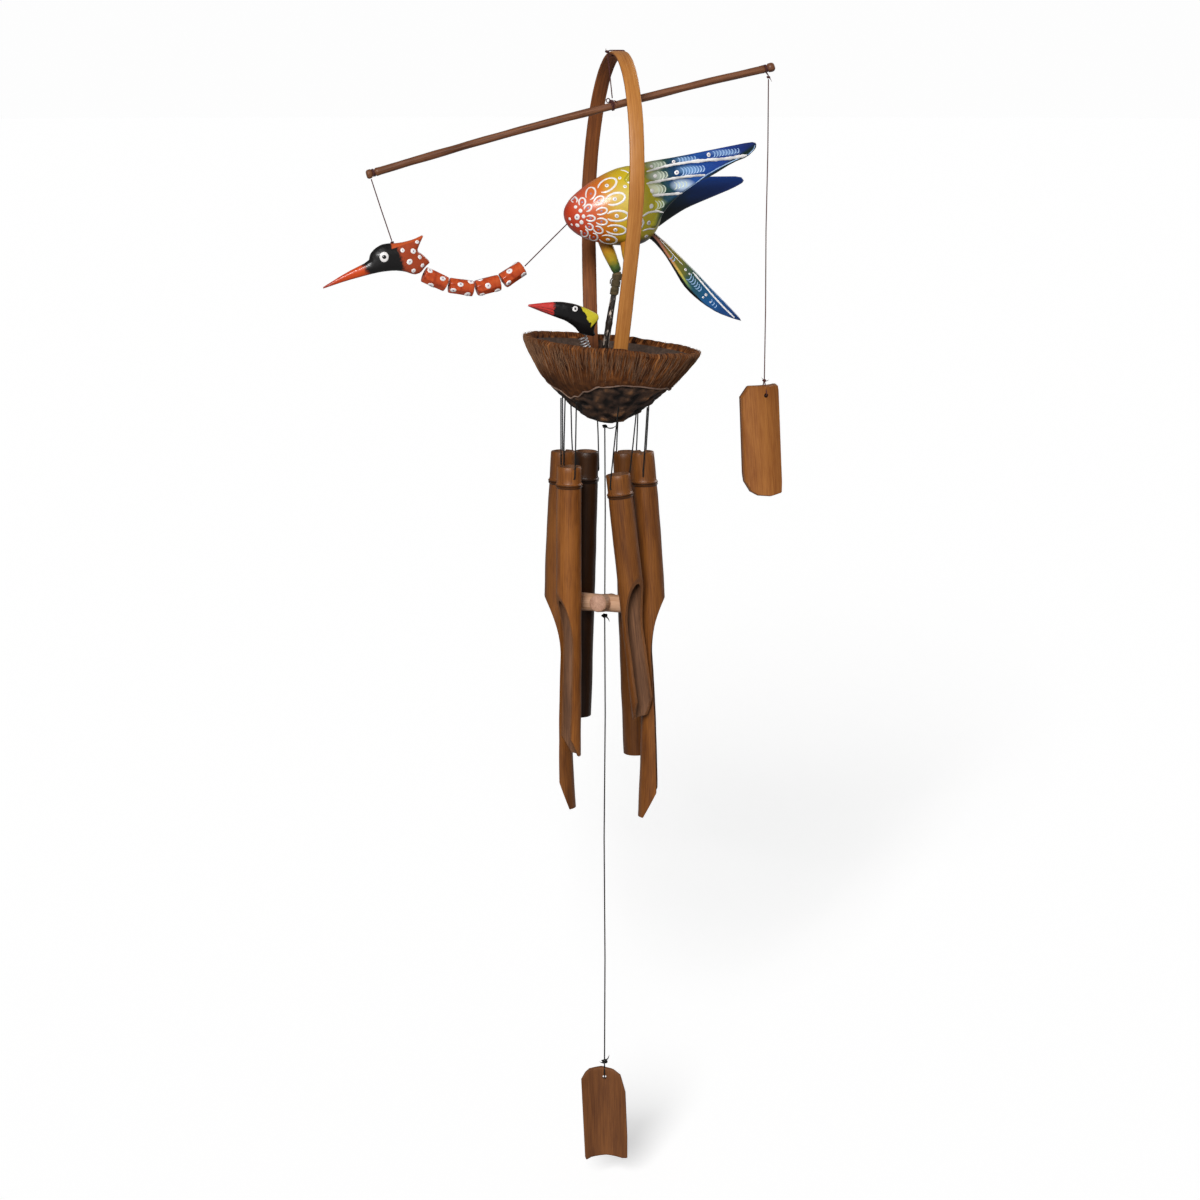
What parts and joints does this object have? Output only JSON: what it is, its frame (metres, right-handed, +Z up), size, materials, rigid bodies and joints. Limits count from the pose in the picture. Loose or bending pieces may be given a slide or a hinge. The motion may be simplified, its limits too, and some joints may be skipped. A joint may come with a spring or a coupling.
{
  "type": "wind chime",
  "caption": "Bamboo wind chime: hooped hanger, coconut nest, painted carved bird with a counterweighted nodding neck, hanging cut tubes, clapper and sail.",
  "frame": {"origin": "centre of the flat underside of the hoop's crown, where a hook carries the chime", "axes": "+Z up; -X the way the bird faces, with the balance beam along X; the hoop's plane is YZ"},
  "size_m": [0.3555, 0.1406, 0.8748],
  "materials": {
    "hoop_bamboo": "satin",
    "coconut_husk": "matte",
    "beam_stick": "satin",
    "chime_bamboo": "satin",
    "slat_bamboo": "satin",
    "head_paint": "gloss",
    "bead_paint": "gloss",
    "body_paint": "gloss",
    "wing_paint": "gloss",
    "thigh_paint": "gloss",
    "knee_twine": "matte",
    "shin_cane": "satin",
    "chick_paint": "gloss",
    "spring_wire": "satin",
    "clapper_wood": "matte",
    "black_cord": "matte",
    "purple_twine": "matte"
  },
  "bodies": {
    "frame": {"hoop": "hoop_bamboo", "coconut_nest": "coconut_husk", "crown_loop": "purple_twine", "crown_knot": "purple_twine", "bird_body": "body_paint", "near_wing": "wing_paint", "far_wing": "wing_paint", "tail": "wing_paint", "far_thigh": "thigh_paint", "far_knee_binding": "knee_twine", "far_shin": "shin_cane", "near_thigh": "thigh_paint", "near_knee_binding": "knee_twine", "near_shin": "shin_cane", "chick_spring": "spring_wire"},
    "suspension": {"suspension_cord": "purple_twine"},
    "beam": {"balance_beam": "beam_stick", "beam_tie": "purple_twine", "head_hitch": "purple_twine", "counterweight_hitch": "purple_twine"},
    "counterweight_string": {"counterweight_knot": "purple_twine", "counterweight_cord": "purple_twine"},
    "counterweight_ring": {"counterweight_loop": "purple_twine"},
    "counterweight": {"counterweight_slat": "slat_bamboo"},
    "head_string": {"head_cord": "purple_twine"},
    "head_tie": {"head_knot": "purple_twine"},
    "head": {"bird_head": "head_paint"},
    "bead_1": {"neck_bead_1": "bead_paint", "neck_cord_1": "purple_twine"},
    "bead_2": {"neck_bead_2": "bead_paint", "neck_cord_2": "purple_twine"},
    "bead_3": {"neck_bead_3": "bead_paint", "neck_cord_3": "purple_twine"},
    "bead_4": {"neck_bead_4": "bead_paint", "neck_cord_4": "purple_twine"},
    "neck_end": {"neck_cord": "purple_twine"},
    "chick": {"chick_head": "chick_paint"},
    "anchor": {"anchor_knot": "black_cord"},
    "striker_string": {"clapper_cord": "black_cord"},
    "clapper": {"clapper_bar_1": "clapper_wood", "clapper_bar_2": "clapper_wood"},
    "sail_knuckle": {"clapper_knot": "black_cord"},
    "sail_string": {"sail_cord": "black_cord", "sail_knot": "black_cord"},
    "sail": {"sail_slat": "slat_bamboo", "sail_loop": "black_cord"},
    "chime_1": {"chime_tube_1": "chime_bamboo", "chime_cord_1": "black_cord"},
    "chime_2": {"chime_tube_2": "chime_bamboo", "chime_cord_2": "black_cord"},
    "chime_3": {"chime_tube_3": "chime_bamboo", "chime_cord_3": "black_cord"},
    "chime_4": {"chime_tube_4": "chime_bamboo", "chime_cord_4": "black_cord"},
    "chime_5": {"chime_tube_5": "chime_bamboo", "chime_cord_5": "black_cord"},
    "chime_6": {"chime_tube_6": "chime_bamboo", "chime_cord_6": "black_cord"}
  },
  "joints": [
    {"name": "beam_yaw", "type": "hinge", "parent": "frame", "child": "suspension", "pos_m": [-0.0028, 0.003, -0.0018], "axis": [0, 0, 1], "range_deg": [-5, 5]},
    {"name": "beam_rock", "type": "hinge", "parent": "suspension", "child": "beam", "pos_m": [-0.0028, 0.003, -0.033], "axis": [0, -1, 0], "range_deg": [-6, 6]},
    {"name": "counterweight_level", "type": "hinge", "parent": "beam", "child": "counterweight_string", "pos_m": [0.1176, 0.003, -0.0105], "axis": [0, -1, 0], "range_deg": [-6, 6]},
    {"name": "counterweight_spin", "type": "hinge", "parent": "counterweight_string", "child": "counterweight_ring", "pos_m": [0.1176, 0.003, -0.2444], "axis": [0, 0, 1], "continuous": true},
    {"name": "counterweight_swing", "type": "hinge", "parent": "counterweight_ring", "child": "counterweight", "pos_m": [0.1176, 0.003, -0.2556], "axis": [0, -1, 0], "range_deg": [-6, 6]},
    {"name": "head_cord_swing", "type": "hinge", "parent": "beam", "child": "head_string", "pos_m": [-0.1842, 0.003, -0.0884], "axis": [0, -1, 0], "range_deg": [-6.7, 6.7]},
    {"name": "head_turn", "type": "hinge", "parent": "head_string", "child": "head_tie", "pos_m": [-0.1695, 0.003, -0.1344], "axis": [0, 0, 1], "range_deg": [-1.45, 1.45]},
    {"name": "head_nod", "type": "hinge", "parent": "head_tie", "child": "head", "pos_m": [-0.1695, 0.003, -0.1344], "axis": [0, -1, 0], "range_deg": [-3.1, 3.1]},
    {"name": "bead_1_bend", "type": "hinge", "parent": "head", "child": "bead_1", "pos_m": [-0.1475, 0.003, -0.1573], "axis": [0, -1, 0], "range_deg": [-3.78, 3.78]},
    {"name": "bead_2_bend", "type": "hinge", "parent": "bead_1", "child": "bead_2", "pos_m": [-0.12884, 0.003, -0.16604], "axis": [0, -1, 0], "range_deg": [-4.32, 4.32]},
    {"name": "bead_3_bend", "type": "hinge", "parent": "bead_2", "child": "bead_3", "pos_m": [-0.1085, 0.003, -0.16926], "axis": [0, -1, 0], "range_deg": [-1.96, 1.96]},
    {"name": "bead_4_bend", "type": "hinge", "parent": "bead_3", "child": "bead_4", "pos_m": [-0.08843, 0.003, -0.16463], "axis": [0, -1, 0], "range_deg": [-1.78, 1.78]},
    {"name": "neck_cord_bend", "type": "hinge", "parent": "bead_4", "child": "neck_end", "pos_m": [-0.07086, 0.003, -0.15386], "axis": [0, -1, 0], "range_deg": [-1.4, 1.4]},
    {"name": "chick_nod", "type": "hinge", "parent": "frame", "child": "chick", "pos_m": [-0.0235, -0.02, -0.228], "axis": [0, -1, 0], "range_deg": [-8, 8], "stiffness_Nm_per_rad": 0.02, "springref_deg": -1.31, "deforming": ["chick_spring"]},
    {"name": "chime_1_swing", "type": "hinge", "parent": "frame", "child": "chime_1", "pos_m": [-0.03883, -0.01022, -0.25388], "axis": [-0.1736, 0.9848, 0], "range_deg": [-0.3, 15]},
    {"name": "chime_2_swing", "type": "hinge", "parent": "frame", "child": "chime_2", "pos_m": [-0.0406, 0.01091, -0.26813], "axis": [0.2924, 0.9563, 0], "range_deg": [-0.3, 3]},
    {"name": "chime_3_swing", "type": "hinge", "parent": "frame", "child": "chime_3", "pos_m": [-0.01818, 0.03228, -0.25577], "axis": [0.9962, 0.0872, 0], "range_deg": [-0.3, 15]},
    {"name": "chime_4_swing", "type": "hinge", "parent": "frame", "child": "chime_4", "pos_m": [0.00078, -0.02828, -0.25494], "axis": [-0.8387, -0.5446, 0], "range_deg": [-0.3, 15]},
    {"name": "chime_5_swing", "type": "hinge", "parent": "frame", "child": "chime_5", "pos_m": [0.01446, 0.02068, -0.25955], "axis": [0.5, -0.866, 0], "range_deg": [-0.3, 15]},
    {"name": "chime_6_swing", "type": "hinge", "parent": "frame", "child": "chime_6", "pos_m": [0.02174, -0.00876, -0.25896], "axis": [-0.3256, -0.9455, 0], "range_deg": [-0.3, 15]},
    {"name": "striker_sway", "type": "hinge", "parent": "frame", "child": "anchor", "pos_m": [-0.0098, 0, -0.2746], "axis": [1, 0, 0], "range_deg": [-0.7, 0.7]},
    {"name": "striker_swing", "type": "hinge", "parent": "anchor", "child": "striker_string", "pos_m": [-0.0098, 0, -0.2746], "axis": [0, 1, 0], "range_deg": [-0.7, 0.7]},
    {"name": "clapper_spin", "type": "hinge", "parent": "striker_string", "child": "clapper", "pos_m": [-0.0098, 0, -0.4114], "axis": [0, 0, 1], "range_deg": [-8, 8]},
    {"name": "sail_sway", "type": "hinge", "parent": "striker_string", "child": "sail_knuckle", "pos_m": [-0.0098, 0, -0.4214], "axis": [1, 0, 0], "range_deg": [-5, 5]},
    {"name": "sail_swing", "type": "hinge", "parent": "sail_knuckle", "child": "sail_string", "pos_m": [-0.0098, 0, -0.4214], "axis": [0, 1, 0], "range_deg": [-5, 5]},
    {"name": "sail_spin", "type": "hinge", "parent": "sail_string", "child": "sail", "pos_m": [-0.0098, 0, -0.7862], "axis": [0, 0, 1], "continuous": true}
  ],
  "couplings": [
    {"joint": "counterweight_level", "follows": "beam_rock", "ratio": -1},
    {"joint": "head_turn", "follows": "beam_yaw", "ratio": 0.2813},
    {"joint": "head_cord_swing", "follows": "beam_rock", "ratio": -1.108},
    {"joint": "head_nod", "follows": "beam_rock", "ratio": 0.502},
    {"joint": "bead_1_bend", "follows": "beam_rock", "ratio": 0.621},
    {"joint": "bead_2_bend", "follows": "beam_rock", "ratio": 0.712},
    {"joint": "bead_3_bend", "follows": "beam_rock", "ratio": 0.318},
    {"joint": "bead_4_bend", "follows": "beam_rock", "ratio": -0.288},
    {"joint": "neck_cord_bend", "follows": "beam_rock", "ratio": -0.225}
  ]
}
